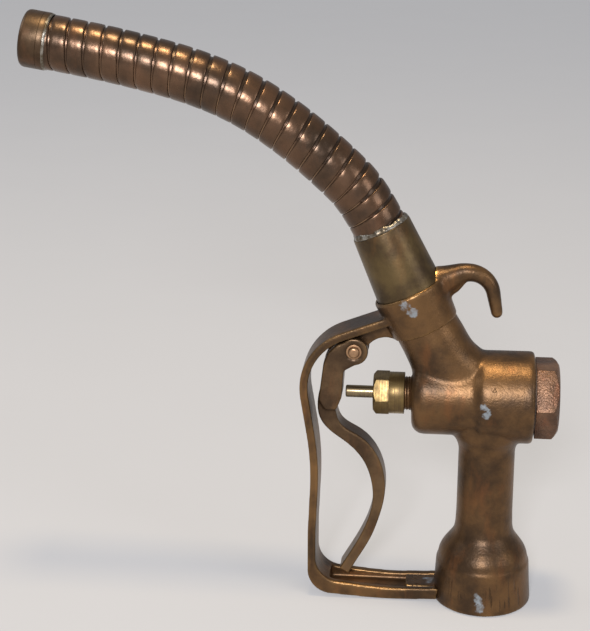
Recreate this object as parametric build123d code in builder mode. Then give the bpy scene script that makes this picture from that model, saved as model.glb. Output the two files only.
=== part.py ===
from build123d import *
import os
from math import cos, radians, sin, tan

os.makedirs("parts", exist_ok=True)

# A hand-held fuel nozzle: a cast body with an inlet bell and a handle pipe, a
# horizontal valve chamber, a leaning neck and a flexible metal spout. A second
# casting makes the collar on the neck, the hanging hook and the lever guard.
#
# Frame: millimetres. The origin is the centre of the inlet bell's bottom face.
# +Z runs up the handle pipe, +X points at the valve cap, and the spout leans
# towards -X. The whole nozzle is symmetric about the plane Y = 0.

# ---------------------------------------------------------------- dimensions
# Named clearances
face_gap = 0.1  # between a casting's end and the face that it stops against
running_gap = 0.06  # radial, a shaft that turns or slides in its hole
loose_gap = 0.3  # radial, a shaft that passes through a cover
moving_gap = 0.35  # between faces that pass each other

# Inlet bell and handle pipe
bell_mouth_r = 25.5
bell_taper = 1.9
bell_band_top = 24.5
bell_shoulder_top = 38.0
bell_shoulder_blend = 9.0
inlet_thread_r = 15.8
inlet_thread_depth = 22.0
pipe_r = 14.4
pipe_wall = 4.9
pipe_flare = 1.6
pipe_bore_overrun = 3.0  # the pipe's bore runs this far into the chamber

# Valve chamber, a lying cylinder, and the smaller globe beside it
chamber_z = 112.2
chamber_r = 23.4
chamber_start = -5.0
chamber_end = 22.2
chamber_wall = 5.0
chamber_step = 2.0
globe_r = 20.4
globe_end = -39.0
globe_corner = 5.0
globe_wall = 4.0
globe_end_wall = 5.0

# Valve seat, in the wall between globe and chamber
seat_wall_start = -11.0
seat_wall_end = -5.0
seat_bore_r = 8.0
seat_ring_wall = 2.5
seat_lip_wall = 1.4
seat_lip_height = 2.0

# Packing stub, packing and packing nut on the globe's end
stub_wall = 2.9
stub_length = 13.5
packing_width = 2.45
packing_ring_height = 3.0
packing_ring_count = 3
packing_ring_gap = 0.1
packing_floor_depth = 2.0
nut_skirt_wall = 2.2
nut_flat_wall = 1.2
nut_skirt_start = -42.8
nut_step = -50.6
nut_end = -58.7
nut_end_wall = 4.4
nut_turn = 6.0
nut_chamfer = 0.4
gland_rim = 1.0

# Push stem and the valve disc stack on it
stem_r = 3.15
stem_tip = -72.9
stem_tip_blend = 0.8
stem_thread_depth = 6.0
disc_overlap = 2.4  # the disc reaches this far past the seat's lip
disc_thickness = 3.0
holder_wall = 1.0
holder_length = 8.0
holder_rim = 0.9
holder_boss_r = 6.5
holder_boss_length = 3.5
disc_washer_r = 6.6
disc_washer_thickness = 1.4
disc_nut_wall = 1.35
disc_nut_height = 3.6

# Valve cap, its gasket and the spring behind it
cap_thread_inset = 2.4
cap_thread_length = 10.0
cap_thread_wall = 2.4
cap_flange = 2.25
cap_hex_height = 11.6
cap_end_wall = 4.2
cap_chamfer = 1.2
cap_gasket_thickness = 0.8
spring_coil_r = 9.2
spring_wire_r = 0.9
spring_turns = 6

# Spout: ferrule, gasket, strip-wound hose, tip ferrule and the solder beads
hose_r = 13.5
hose_wall = 2.7
hose_insertion = 12.5
hose_first_run = 28.0
hose_run = 26.8
hose_headings = (45.8, 50.6, 57.5, 68.6, 75.8, 77.9, 80.4)  # degrees from +Z towards -X
ferrule_spigot_wall = 1.7
ferrule_spigot_length = 11.0
ferrule_lip = 1.5
ferrule_top = 95.5
tip_ferrule_wall = 0.6
tip_ferrule_length = 12.0
tip_ferrule_blend = 1.8
tip_lip = 3.0
solder_height = 2.6
solder_width = 1.5
tip_solder_length = 1.4
tip_solder_width = 0.9

# Neck, leaning from the chamber axis
neck_root_inset = 7.1  # from the globe's end to the neck's wall
neck_lean = 25.0  # degrees from +Z towards -X
neck_wall = 3.4
neck_end = 57.0  # distances along the neck start at its root
neck_bore_start = 16.0
neck_bore_step = 1.5
neck_flare = 3.0
neck_flare_start = 18.0
neck_flare_end = 34.0
spout_gasket_thickness = 1.0

# Collar, hook and lever guard
collar_start = 40.0
collar_end = 62.0
collar_foot_wall = 1.1
collar_rim_wall = 1.7
collar_edge = 0.6
guard_width = 22.0
strap_thickness = 4.2
strap_corner = 30.0
strap_sweep = 150.0  # radius of the strap's and the foot bar's gentle bends
bar_height = 6.3
bar_lip = 4.0
bar_channel_floor = 3.0
bar_corner = 13.0
bar_low_x = -50.0
bar_end_rise = 2.4
lug_thickness = 5.4
lug_inset = 0.7
hook_root_r = 6.4
hook_tip_r = 3.0
hook_root_bend = 9.0
hook_tip_bend = 12.5
hook_rise = 61.8
hook_centre_x = 1.0

# Tongue on the bell and the screw that holds the guard's foot to it
tongue_length = 15.0
tongue_height = 2.2
screw_r = 2.4
screw_head_wall = 2.0
screw_head_height = 1.5
screw_head_bottom = 0.6
screw_top_inset = 0.6
screw_slot = 1.1
screw_offset = 8.0

# Lever and its pivot
pivot_x = -68.6
pivot_rise = 23.6  # above the stem axis
lever_boss_r = 7.2
lever_fork_width = 16.0
lever_grip_width = 13.0
fork_corner = 1.6
lever_throw = 18.0  # degrees, released to fully squeezed
stem_per_radian = 21.0  # millimetres of stem travel per radian of lever
pin_r = 2.0
pin_head_wall = 1.0
pin_head_height = 1.9
washer_wall = 1.9
washer_thickness = 0.6
washer_recess = 1.0

# ---------------------------------------------- sizes that follow from others
bell_band_r = bell_mouth_r - bell_taper
pipe_bore_r = pipe_r - pipe_wall
chamber_cavity_r = chamber_r - chamber_wall
globe_cavity_r = globe_r - globe_wall
seat_ring_r = seat_bore_r + seat_ring_wall
seat_lip_r = seat_bore_r + seat_lip_wall
disc_r = seat_lip_r + disc_overlap
holder_r = disc_r + holder_wall
packing_bore_r = stem_r + packing_width
stub_r = packing_bore_r + stub_wall
nut_skirt_r = stub_r + nut_skirt_wall
nut_across_flats = 2 * (stub_r + nut_flat_wall)
disc_nut_across_flats = 2 * (stem_r + disc_nut_wall)
cap_thread_r = chamber_cavity_r - cap_thread_inset
cap_bore_r = cap_thread_r - cap_thread_wall
cap_across_flats = 2 * (cap_thread_r + cap_flange)
hose_bore_r = hose_r - hose_wall
ferrule_spigot_r = hose_bore_r + ferrule_spigot_wall
ferrule_top_r = hose_r + ferrule_lip
tip_ferrule_r = hose_r + tip_ferrule_wall
neck_r = ferrule_spigot_r + neck_wall
neck_root_x = globe_end + neck_r + neck_root_inset
neck_bore_r = ferrule_spigot_r - neck_bore_step
ferrule_base_r = neck_r + collar_foot_wall - face_gap
collar_foot_r = neck_r + collar_foot_wall
collar_rim_r = ferrule_base_r + face_gap + collar_rim_wall
bar_channel_width = guard_width - 2 * bar_lip
hook_centre_z = chamber_z + hook_rise
pivot_z = chamber_z + pivot_rise
screw_head_r = screw_r + screw_head_wall
pin_head_r = pin_r + pin_head_wall
washer_r = pin_r + washer_wall

# --------------------------------------------------------- axes and planes
stem_section = Plane(origin=(0, 0, chamber_z), x_dir=(1, 0, 0), z_dir=(0, -1, 0))
stem_axis = Axis((0, 0, chamber_z), (1, 0, 0))

neck_dir = Vector(-sin(radians(neck_lean)), 0, cos(radians(neck_lean)))
neck_side = Vector(cos(radians(neck_lean)), 0, sin(radians(neck_lean)))
neck_root = Vector(neck_root_x, 0, chamber_z)
neck_section = Plane(origin=neck_root, x_dir=neck_side, z_dir=(0, -1, 0))
neck_axis = Axis(neck_root, neck_dir)
neck_plane = Plane(origin=neck_root, x_dir=neck_side, z_dir=neck_dir)

pivot_section = Plane(origin=(pivot_x, 0, pivot_z), x_dir=(1, 0, 0), z_dir=(0, -1, 0))


def stem_plane(x):
    """A plane across the stem axis at x, facing +X."""
    return Plane(origin=(x, 0, chamber_z), x_dir=(0, 1, 0), z_dir=(1, 0, 0))


def neck_point(distance):
    """A point on the neck axis, as X and Z."""
    point = neck_root + neck_dir * distance
    return (point.X, point.Z)


def turn(plane, axis, *profile, mode=Mode.ADD):
    """Turn a closed profile, given by its corners, round an axis."""
    with BuildSketch(plane) as section:
        with BuildLine():
            Polyline(*profile, close=True)
        make_face()
    revolve(section.sketch, axis=axis, mode=mode)


def stem_turn(start, end, r, r_inside=0.0, mode=Mode.ADD):
    """A disc or a ring on the stem axis, from X = start to X = end."""
    corners = ((start, r_inside), (end, r_inside), (end, r), (start, r))
    turn(stem_section, stem_axis, *corners, mode=mode)


def neck_turn(start, end, r, r_inside=0.0, mode=Mode.ADD):
    """A disc or a ring on the neck axis, between two distances along it."""
    corners = ((r_inside, start), (r, start), (r, end), (r_inside, end))
    turn(neck_section, neck_axis, *corners, mode=mode)


def keep(builder, name):
    """Label a finished piece and write it as a STEP file."""
    builder.part.label = name
    export_step(builder.part, f"parts/{name}.step")


# ------------------------------------------------------- derived positions
seat_lip_x = seat_wall_end + seat_lip_height
seat_face_x = seat_lip_x  # the disc rests on the lip
holder_end = seat_face_x + disc_thickness + holder_length
disc_nut_start = seat_face_x - disc_washer_thickness - disc_nut_height
cap_thread_start = chamber_end - cap_thread_length
gasket_end = chamber_end + cap_gasket_thickness
cap_end = gasket_end + cap_hex_height
cap_corner_r = cap_across_flats / 2 / cos(radians(30))
spring_seat_x = cap_end - cap_end_wall
globe_cavity_end = globe_end + globe_end_wall
pipe_bore_top = chamber_z - chamber_cavity_r + pipe_bore_overrun

# packing: floor of the bore, rings, gland nose and gland flange
stub_end = globe_end - stub_length
packing_length = packing_ring_count * (packing_ring_height + packing_ring_gap)
packing_floor = globe_end - packing_floor_depth
packing_start = packing_floor - packing_length
gland_end = nut_end + nut_end_wall
gland_bore_r = stem_r + loose_gap / 2
nut_corner_r = nut_across_flats / 2 / cos(radians(30))

# guard: where the strap stands and where the foot bar meets it
strap_back_x = -89.4
strap_waist_z = chamber_z - 36.0
bar_join_z = 36.0
bar_lowest = -0.2
bar_top = bar_lowest + bar_height
lug_r = lever_boss_r - lug_inset
channel_start = -80.0
tongue_z = bar_channel_floor
tongue_width = bar_channel_width - 4 * face_gap
tongue_reach = tongue_length + tongue_width
screw_x = -bell_mouth_r - screw_offset
screw_top = tongue_z + tongue_height - screw_top_inset
fork_slot_width = lug_thickness + 2 * moving_gap
fork_slot_floor = -lug_r - moving_gap
pin_half_length = lever_fork_width / 2 - washer_recess + washer_thickness + face_gap

# the packing nut's outer end as the squeezed lever meets it, in the lever's own frame
throw_cos = cos(radians(lever_throw))
throw_sin = sin(radians(lever_throw))
nut_dx = nut_end - moving_gap - pivot_x
nut_dz = chamber_z - pivot_z
squeezed_nut_plane = Plane(
    origin=(
        pivot_x + nut_dx * throw_cos + nut_dz * throw_sin,
        0,
        pivot_z - nut_dx * throw_sin + nut_dz * throw_cos,
    ),
    x_dir=(0, 1, 0),
    z_dir=(throw_cos, 0, -throw_sin),
)

# spout: the ferrule's thread, its gasket and the hose's start
spigot_start = neck_end - ferrule_spigot_length
gasket_top = neck_end + spout_gasket_thickness
hose_start = ferrule_top - hose_insertion


def hook_x(offset):
    """X of a point on the hook, from the hook's own centre."""
    return offset + hook_centre_x


def hook_z(offset):
    """Z of a point on the hook, from the hook's own centre."""
    return offset + hook_centre_z


# ------------------------------------------------------------ body casting
with BuildPart() as body_casting:
    # chamber and globe, one turned shape on the stem axis
    turn(
        stem_section,
        stem_axis,
        (globe_end, 0),
        (globe_end, globe_r),
        (chamber_start - chamber_step, globe_r),
        (chamber_start, chamber_r),
        (chamber_end, chamber_r),
        (chamber_end, 0),
    )
    globe_rim = body_casting.edges().filter_by(GeomType.CIRCLE).sort_by(Axis.X)[0]
    fillet(globe_rim, radius=globe_corner)
    # neck, flaring into the chamber at its root
    turn(
        neck_section,
        neck_axis,
        (0, 0),
        (neck_r + neck_flare, 0),
        (neck_r + neck_flare, neck_flare_start),
        (neck_r, neck_flare_end),
        (neck_r, neck_end),
        (0, neck_end),
    )
    # handle pipe, flaring into the chamber at its top
    turn(
        Plane.XZ,
        Axis.Z,
        (0, bell_band_top),
        (pipe_r, bell_band_top),
        (pipe_r, chamber_z - chamber_r - pipe_flare),
        (pipe_r + 2 * pipe_flare, chamber_z - chamber_r + pipe_flare),
        (0, chamber_z - chamber_r + pipe_flare),
    )
    # inlet bell, a band with a sloping shoulder
    with BuildSketch(Plane.XZ) as bell_profile:
        with BuildLine():
            Polyline(
                (0, 0),
                (bell_mouth_r, 0),
                (bell_band_r, bell_band_top),
                (pipe_r, bell_shoulder_top),
                (pipe_r, bell_shoulder_top + bell_shoulder_blend),
                (0, bell_shoulder_top + bell_shoulder_blend),
                close=True,
            )
        make_face()
        shoulder = bell_profile.vertices().filter_by_position(
            Axis.Y, bell_band_top, bell_shoulder_top
        )
        fillet(shoulder, radius=bell_shoulder_blend)
    revolve(axis=Axis.Z)
    # tongue that lies in the guard's channel
    with BuildSketch(Plane.XY.offset(tongue_z)):
        with Locations((-(bell_band_r + bell_mouth_r + tongue_length) / 2, 0)):
            SlotOverall(tongue_reach, tongue_width)
    extrude(amount=tongue_height)
    # packing stub
    stem_turn(stub_end, globe_end + globe_corner, stub_r)
    # hollows: inlet, handle pipe, chamber and globe
    with BuildSketch(Plane.XY):
        Circle(inlet_thread_r)
    extrude(amount=inlet_thread_depth, mode=Mode.SUBTRACT)
    with BuildSketch(Plane.XY.offset(inlet_thread_depth)):
        Circle(pipe_bore_r)
    extrude(amount=pipe_bore_top - inlet_thread_depth, mode=Mode.SUBTRACT)
    stem_turn(seat_wall_end, cap_thread_start, chamber_cavity_r, mode=Mode.SUBTRACT)
    stem_turn(cap_thread_start, chamber_end, cap_thread_r, mode=Mode.SUBTRACT)
    stem_turn(globe_cavity_end, seat_wall_start, globe_cavity_r, mode=Mode.SUBTRACT)
    stem_turn(seat_wall_start, seat_wall_end, seat_ring_r, mode=Mode.SUBTRACT)
    # neck bore, with the ferrule's thread at its mouth
    neck_turn(neck_bore_start, neck_end, neck_bore_r, mode=Mode.SUBTRACT)
    neck_turn(spigot_start, neck_end, ferrule_spigot_r, mode=Mode.SUBTRACT)
    # stem hole and packing bore
    stem_turn(stub_end, globe_cavity_end, stem_r + running_gap, mode=Mode.SUBTRACT)
    stem_turn(stub_end, packing_floor, packing_bore_r, mode=Mode.SUBTRACT)
    # screw hole in the tongue
    with BuildSketch(Plane.XY.offset(tongue_z)):
        with Locations((screw_x, 0)):
            Circle(screw_r)
    extrude(amount=screw_top - tongue_z, mode=Mode.SUBTRACT)

keep(body_casting, "body_casting")

# ---------------------------------------------------------- guard casting
with BuildPart() as guard_casting:
    # collar, a flared ring on the neck
    turn(
        neck_section,
        neck_axis,
        (neck_r, collar_start),
        (collar_foot_r, collar_start),
        (collar_rim_r, collar_end - 2 * collar_edge),
        (collar_rim_r - collar_edge, collar_end),
        (neck_r, collar_end),
    )
    # strap: its middle line leaves the collar, rounds one large corner, runs
    # down past the lever and turns into the foot bar
    with BuildSketch(Plane.XZ):
        with BuildLine():
            FilletPolyline(
                neck_point((collar_start + collar_end) / 2),
                (strap_back_x - 8.1, pivot_z - 0.2),
                (strap_back_x + 1.8, strap_waist_z),
                (strap_back_x, bar_join_z),
                radius=(strap_corner, strap_sweep),
            )
        trace(line_width=strap_thickness)
    extrude(amount=guard_width / 2, both=True)
    # foot bar, from the strap's lower end to the bell
    with BuildSketch(Plane.XZ):
        with BuildLine():
            under = FilletPolyline(
                (strap_back_x - strap_thickness / 2, bar_join_z),
                (strap_back_x - strap_thickness / 2, bar_lowest + bar_end_rise),
                (bar_low_x, bar_lowest),
                (0.0, bar_lowest + bar_end_rise),
                radius=(bar_corner, strap_sweep),
            )
            over = FilletPolyline(
                (strap_back_x + strap_thickness / 2, bar_join_z),
                (strap_back_x + strap_thickness / 2, bar_top + bar_end_rise + 1.2),
                (bar_low_x, bar_top),
                (0.0, bar_top + bar_end_rise),
                radius=(bar_corner, strap_sweep),
            )
            Line(under @ 0, over @ 0)
            Line(under @ 1, over @ 1)
        make_face()
    extrude(amount=guard_width / 2, both=True)
    # lug for the lever's pivot, under the strap
    with BuildSketch(pivot_section):
        with BuildLine():
            arch = ThreePointArc((5.6, -0.8), (10.4, 5.0), (23.6, 3.4))
            Polyline(
                arch @ 1,
                (28.0, 16.0),
                (-12.0, 8.0),
                (-4.6, -4.2),
                arch @ 0,
            )
        make_face()
        Circle(lug_r)
    extrude(amount=lug_thickness / 2, both=True)
    # hook: a web at its root, then a tapering bent bar with a round tip
    with BuildSketch(Plane.XZ):
        with BuildLine():
            Polyline(
                neck_point(collar_end - 2),
                (hook_x(-16.5), hook_z(5.0)),
                (hook_x(-13.8), hook_z(-0.6)),
                (hook_x(-18.0), hook_z(-6.4)),
                neck_point(collar_start + 6),
                close=True,
            )
        make_face()
    extrude(amount=hook_tip_r, both=True)
    with BuildLine(Plane.XZ) as hook_line:
        FilletPolyline(
            neck_point(collar_end - 3.5),
            (hook_x(-16.5), hook_z(3.0)),
            (hook_x(-3.0), hook_z(3.3)),
            (hook_x(1.2), hook_z(-17.2)),
            radius=(hook_root_bend, hook_tip_bend),
        )
    with BuildSketch(Plane(origin=hook_line.line @ 0, z_dir=hook_line.line % 0)):
        Circle(hook_root_r)
    with BuildSketch(Plane(origin=hook_line.line @ 1, z_dir=hook_line.line % 1)):
        Circle(hook_tip_r)
    sweep(path=hook_line.line, multisection=True)
    with Locations(hook_line.line @ 1):
        Sphere(hook_tip_r)
    # trim to the neck, the ferrule and the bell
    neck_turn(0, neck_end, neck_r, mode=Mode.SUBTRACT)
    neck_turn(neck_end, ferrule_top, ferrule_base_r + face_gap, mode=Mode.SUBTRACT)
    turn(
        Plane.XZ,
        Axis.Z,
        (0, -5),
        (bell_mouth_r + face_gap, -5),
        (bell_mouth_r + face_gap, 0),
        (bell_band_r + face_gap, bell_band_top),
        (0, bell_band_top),
        mode=Mode.SUBTRACT,
    )
    # channel along the foot bar, pivot hole and screw hole
    with BuildSketch(Plane.XY.offset(bar_channel_floor)):
        with Locations((channel_start / 2, 0)):
            Rectangle(-channel_start, bar_channel_width)
    extrude(amount=bar_height * 2, mode=Mode.SUBTRACT)
    with BuildSketch(pivot_section):
        Circle(pin_r)
    extrude(amount=lug_thickness / 2, both=True, mode=Mode.SUBTRACT)
    with BuildSketch(Plane.XY):
        with Locations((screw_x, 0)):
            Circle(screw_r)
    extrude(amount=bar_channel_floor, mode=Mode.SUBTRACT)
    with Locations((screw_x, 0, 0)):
        Cylinder(
            screw_head_r,
            screw_head_bottom + screw_head_height,
            align=(Align.CENTER, Align.CENTER, Align.MIN),
            mode=Mode.SUBTRACT,
        )

keep(guard_casting, "guard_casting")

# ------------------------------------------------------------ guard screw
with BuildPart() as guard_screw:
    with BuildSketch(Plane.XY.offset(screw_head_bottom)):
        with Locations((screw_x, 0)):
            Circle(screw_head_r - face_gap)
    extrude(amount=screw_head_height)
    with BuildSketch(Plane.XY.offset(screw_head_bottom)):
        with Locations((screw_x, 0)):
            Circle(screw_r)
    extrude(amount=screw_top - screw_head_bottom)
    with BuildSketch(Plane.XY.offset(screw_head_bottom)):
        with Locations((screw_x, 0)):
            Rectangle(2 * screw_head_r, screw_slot)
    extrude(amount=screw_slot, mode=Mode.SUBTRACT)

keep(guard_screw, "guard_screw")

# ------------------------------------------------------------- seat ring
with BuildPart() as seat_ring:
    stem_turn(seat_wall_start, seat_wall_end, seat_ring_r, seat_bore_r)
    stem_turn(seat_wall_end, seat_lip_x, seat_lip_r, seat_bore_r)

keep(seat_ring, "seat_ring")

# -------------------------------------------- packing, gland and its nut
with BuildPart() as packing_rings:
    for index in range(packing_ring_count):
        start = packing_start + index * (packing_ring_height + packing_ring_gap)
        stem_turn(start, start + packing_ring_height, packing_bore_r, stem_r)

keep(packing_rings, "packing_rings")

with BuildPart() as packing_gland:
    stem_turn(stub_end, packing_start, packing_bore_r - running_gap, gland_bore_r)
    stem_turn(gland_end, stub_end, stub_r - gland_rim, gland_bore_r)

keep(packing_gland, "packing_gland")

with BuildPart() as packing_nut:
    stem_turn(nut_step, nut_skirt_start, nut_skirt_r)
    with BuildSketch(stem_plane(nut_step)):
        RegularPolygon(
            nut_across_flats / 2, 6, major_radius=False, rotation=nut_turn
        )
    extrude(amount=nut_end - nut_step)
    # rounded outer corners of the hexagon and of the skirt
    turn(
        stem_section,
        stem_axis,
        (nut_end - 1, nut_across_flats / 2 - 2 * nut_chamfer),
        (nut_end, nut_across_flats / 2 - nut_chamfer),
        (nut_end + 4.5 * nut_chamfer, nut_corner_r + nut_chamfer / 2),
        (nut_end - 1, nut_corner_r + nut_chamfer / 2),
        mode=Mode.SUBTRACT,
    )
    stem_turn(gland_end, nut_skirt_start, stub_r, mode=Mode.SUBTRACT)
    stem_turn(nut_end, gland_end, stem_r + loose_gap, mode=Mode.SUBTRACT)

keep(packing_nut, "packing_nut")

# ------------------------------------- push stem and its valve disc stack
with BuildPart() as push_stem:
    stem_turn(stem_tip, seat_face_x + disc_thickness + stem_thread_depth, stem_r)
    tip_rim = push_stem.edges().filter_by(GeomType.CIRCLE).sort_by(Axis.X)[0]
    fillet(tip_rim, radius=stem_tip_blend)

keep(push_stem, "push_stem")

with BuildPart() as disc_nut:
    with BuildSketch(stem_plane(disc_nut_start)):
        RegularPolygon(disc_nut_across_flats / 2, 6, major_radius=False)
        Circle(stem_r, mode=Mode.SUBTRACT)
    extrude(amount=disc_nut_height)

keep(disc_nut, "disc_nut")

with BuildPart() as disc_washer:
    stem_turn(
        seat_face_x - disc_washer_thickness, seat_face_x, disc_washer_r, stem_r
    )

keep(disc_washer, "disc_washer")

with BuildPart() as seat_disc:
    stem_turn(seat_face_x, seat_face_x + disc_thickness, disc_r, stem_r)

keep(seat_disc, "seat_disc")

with BuildPart() as disc_holder:
    # a cup round the disc, with a boss that centres the spring
    stem_turn(seat_face_x + holder_rim, holder_end, holder_r)
    stem_turn(holder_end, holder_end + holder_boss_length, holder_boss_r)
    stem_turn(
        seat_face_x + holder_rim,
        seat_face_x + disc_thickness,
        disc_r,
        mode=Mode.SUBTRACT,
    )
    stem_turn(
        seat_face_x + disc_thickness,
        seat_face_x + disc_thickness + stem_thread_depth,
        stem_r,
        mode=Mode.SUBTRACT,
    )

keep(disc_holder, "disc_holder")

# ------------------------------------------ valve spring, cap and gasket
spring_height = spring_seat_x - holder_end - 2 * spring_wire_r
spring_pitch = spring_height / spring_turns
spring_centre = (holder_end + spring_wire_r, 0, chamber_z)
with BuildPart() as valve_spring:
    with BuildLine() as spring_line:
        Helix(
            pitch=spring_pitch,
            height=spring_height,
            radius=spring_coil_r,
            center=spring_centre,
            direction=(1, 0, 0),
        )
    with BuildSketch(Plane(origin=spring_line.line @ 0, z_dir=spring_line.line % 0)):
        Circle(spring_wire_r)
    sweep(path=spring_line.line)

keep(valve_spring, "valve_spring")

with BuildPart() as valve_cap:
    with BuildSketch(stem_plane(gasket_end)):
        RegularPolygon(cap_across_flats / 2, 6, major_radius=False)
    extrude(amount=cap_hex_height)
    # rounded corners on the outer face
    turn(
        stem_section,
        stem_axis,
        (cap_end - 2.8 * cap_chamfer, cap_corner_r + cap_chamfer / 4),
        (cap_end - 1.3 * cap_chamfer, cap_across_flats / 2 + cap_chamfer),
        (cap_end, cap_across_flats / 2 - cap_chamfer),
        (cap_end + 1, cap_across_flats / 2 - 1.2 * cap_chamfer),
        (cap_end + 1, cap_corner_r + cap_chamfer / 4),
        mode=Mode.SUBTRACT,
    )
    stem_turn(cap_thread_start, gasket_end, cap_thread_r)
    stem_turn(cap_thread_start, spring_seat_x, cap_bore_r, mode=Mode.SUBTRACT)

keep(valve_cap, "valve_cap")

with BuildPart() as cap_gasket:
    stem_turn(chamber_end, gasket_end, cap_across_flats / 2 - face_gap, cap_thread_r)

keep(cap_gasket, "cap_gasket")

# ------------------------------------------------------------------ lever
# Both edges of the grip are given from the pivot, X then Z.
grip_back = (
    (-17.5, -22.0),
    (-18.4, -29.5),
    (-17.4, -36.0),
    (-13.0, -42.5),
    (-4.2, -49.2),
    (4.8, -58.5),
    (9.4, -69.5),
    (10.6, -80.5),
    (8.4, -92.0),
    (3.4, -104.0),
    (-3.8, -117.0),
    (-6.4, -121.6),
)
grip_front = (
    (-1.6, -124.6),
    (2.6, -116.6),
    (9.8, -103.4),
    (14.0, -91.7),
    (16.8, -79.0),
    (16.2, -66.0),
    (11.6, -54.5),
    (2.8, -45.6),
    (-6.4, -39.4),
    (-8.8, -33.0),
    (-8.6, -24.0),
)
with BuildPart() as lever:
    # grip, curved like an S
    with BuildSketch(pivot_section):
        with BuildLine():
            back_edge = Spline(*grip_back)
            front_edge = Spline(*grip_front)
            Line(back_edge @ 1, front_edge @ 0)
            Line(front_edge @ 1, back_edge @ 0)
        make_face()
    extrude(amount=lever_grip_width / 2, both=True)
    # fork: two cheeks with a heel that rests against the strap
    with BuildSketch(pivot_section) as fork_profile:
        with BuildLine():
            Polyline(
                (-1.0, 6.6),
                (-8.8, 3.4),
                (-13.0, -0.8),
                (-15.4, -6.5),
                (-17.8, -26.0),
                (-14.6, -31.6),
                (-8.6, -31.6),
                (-6.0, -25.0),
                (-5.0, -10.5),
                (4.6, -4.8),
                close=True,
            )
        make_face()
        fillet(fork_profile.vertices(), radius=fork_corner)
        Circle(lever_boss_r)
    extrude(amount=lever_fork_width / 2, both=True)
    # slot for the lug
    with BuildSketch(pivot_section):
        with Locations((0, fork_slot_floor + lever_boss_r * 2)):
            Rectangle(lever_boss_r * 4, lever_boss_r * 4)
    extrude(amount=fork_slot_width / 2, both=True, mode=Mode.SUBTRACT)
    # pivot hole and the recesses round the pin's heads
    with BuildSketch(pivot_section):
        Circle(pin_r + running_gap)
    extrude(amount=lever_fork_width, both=True, mode=Mode.SUBTRACT)
    for side in (1, -1):
        with BuildSketch(pivot_section.offset(side * lever_fork_width / 2)):
            Circle(washer_r + running_gap * 2)
        extrude(amount=-side * washer_recess, mode=Mode.SUBTRACT)
    # hollow in the grip's front that clears the packing nut when squeezed
    with BuildSketch(squeezed_nut_plane):
        Circle(nut_corner_r + moving_gap)
    extrude(amount=20, mode=Mode.SUBTRACT)

keep(lever, "lever")

# --------------------------------------------------- pivot pin and washers
with BuildPart() as pivot_pin:
    with BuildSketch(pivot_section):
        Circle(pin_r)
    extrude(amount=pin_half_length, both=True)
    for side in (1, -1):
        with BuildSketch(pivot_section.offset(side * pin_half_length)):
            Circle(pin_head_r)
        extrude(amount=side * pin_head_height)
    head_rims = pivot_pin.edges().filter_by(GeomType.CIRCLE).sort_by(Axis.Y)
    fillet([head_rims[0], head_rims[-1]], radius=pin_head_height * 0.9)

keep(pivot_pin, "pivot_pin")

with BuildPart() as pivot_washers:
    for side in (1, -1):
        with BuildSketch(pivot_section.offset(side * (pin_half_length - washer_thickness))):
            Circle(washer_r)
            Circle(pin_r, mode=Mode.SUBTRACT)
        extrude(amount=side * washer_thickness)

keep(pivot_washers, "pivot_washers")

# --------------------------------------------------- spout ferrule, gasket
with BuildPart() as spout_ferrule:
    turn(
        neck_section,
        neck_axis,
        (hose_bore_r, spigot_start),
        (ferrule_spigot_r, spigot_start),
        (ferrule_spigot_r, gasket_top),
        (ferrule_base_r, gasket_top),
        (ferrule_base_r, collar_end),
        (ferrule_top_r, ferrule_top),
        (hose_r, ferrule_top),
        (hose_r, hose_start),
        (hose_bore_r, hose_start),
    )

keep(spout_ferrule, "spout_ferrule")

with BuildPart() as spout_gasket:
    neck_turn(neck_end, gasket_top, ferrule_base_r - 2 * face_gap, ferrule_spigot_r)

keep(spout_gasket, "spout_gasket")

# ------------------------------------------------------------- spout hose
# The hose leaves the ferrule along the neck axis and bends in small steps.
hose_points = [neck_point(hose_start), neck_point(hose_start + hose_first_run)]
lengths = [hose_first_run]
angles = [neck_lean]
for heading in hose_headings:
    x, z = hose_points[-1]
    x -= hose_run * sin(radians(heading))
    z += hose_run * cos(radians(heading))
    hose_points.append((x, z))
    lengths.append(hose_run)
    angles.append(heading)
hose_radii = []
for index in range(len(angles) - 1):
    half_turn = radians(abs(angles[index + 1] - angles[index])) / 2
    shorter_run = min(lengths[index], lengths[index + 1])
    hose_radii.append(0.45 * shorter_run / tan(half_turn))

with BuildLine(Plane.XZ) as hose_line:
    FilletPolyline(*hose_points, radius=hose_radii)
hose_mouth = Plane(origin=hose_line.line @ 0, z_dir=hose_line.line % 0)
hose_tip = Plane(origin=hose_line.line @ 1, x_dir=(0, 1, 0), z_dir=hose_line.line % 1)

with BuildPart() as spout_hose:
    with BuildSketch(hose_mouth):
        Circle(hose_r)
        Circle(hose_bore_r, mode=Mode.SUBTRACT)
    sweep(path=hose_line.line)

keep(spout_hose, "spout_hose")
print("hose radii:", [round(radius) for radius in hose_radii])
print("hose length:", round(hose_line.wire().length, 1))

with BuildPart() as tip_ferrule:
    with BuildSketch(hose_tip.offset(tip_lip - tip_ferrule_length)):
        Circle(tip_ferrule_r)
    extrude(amount=tip_ferrule_length)
    outer_rim = tip_ferrule.edges().filter_by(GeomType.CIRCLE).sort_by(Axis.X)[0]
    fillet(outer_rim, radius=tip_ferrule_blend)
    with BuildSketch(hose_tip.offset(tip_lip - tip_ferrule_length)):
        Circle(hose_r)
    extrude(amount=tip_ferrule_length - tip_lip, mode=Mode.SUBTRACT)
    with BuildSketch(hose_tip):
        Circle(hose_bore_r)
    extrude(amount=tip_lip, mode=Mode.SUBTRACT)

keep(tip_ferrule, "tip_ferrule")

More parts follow.
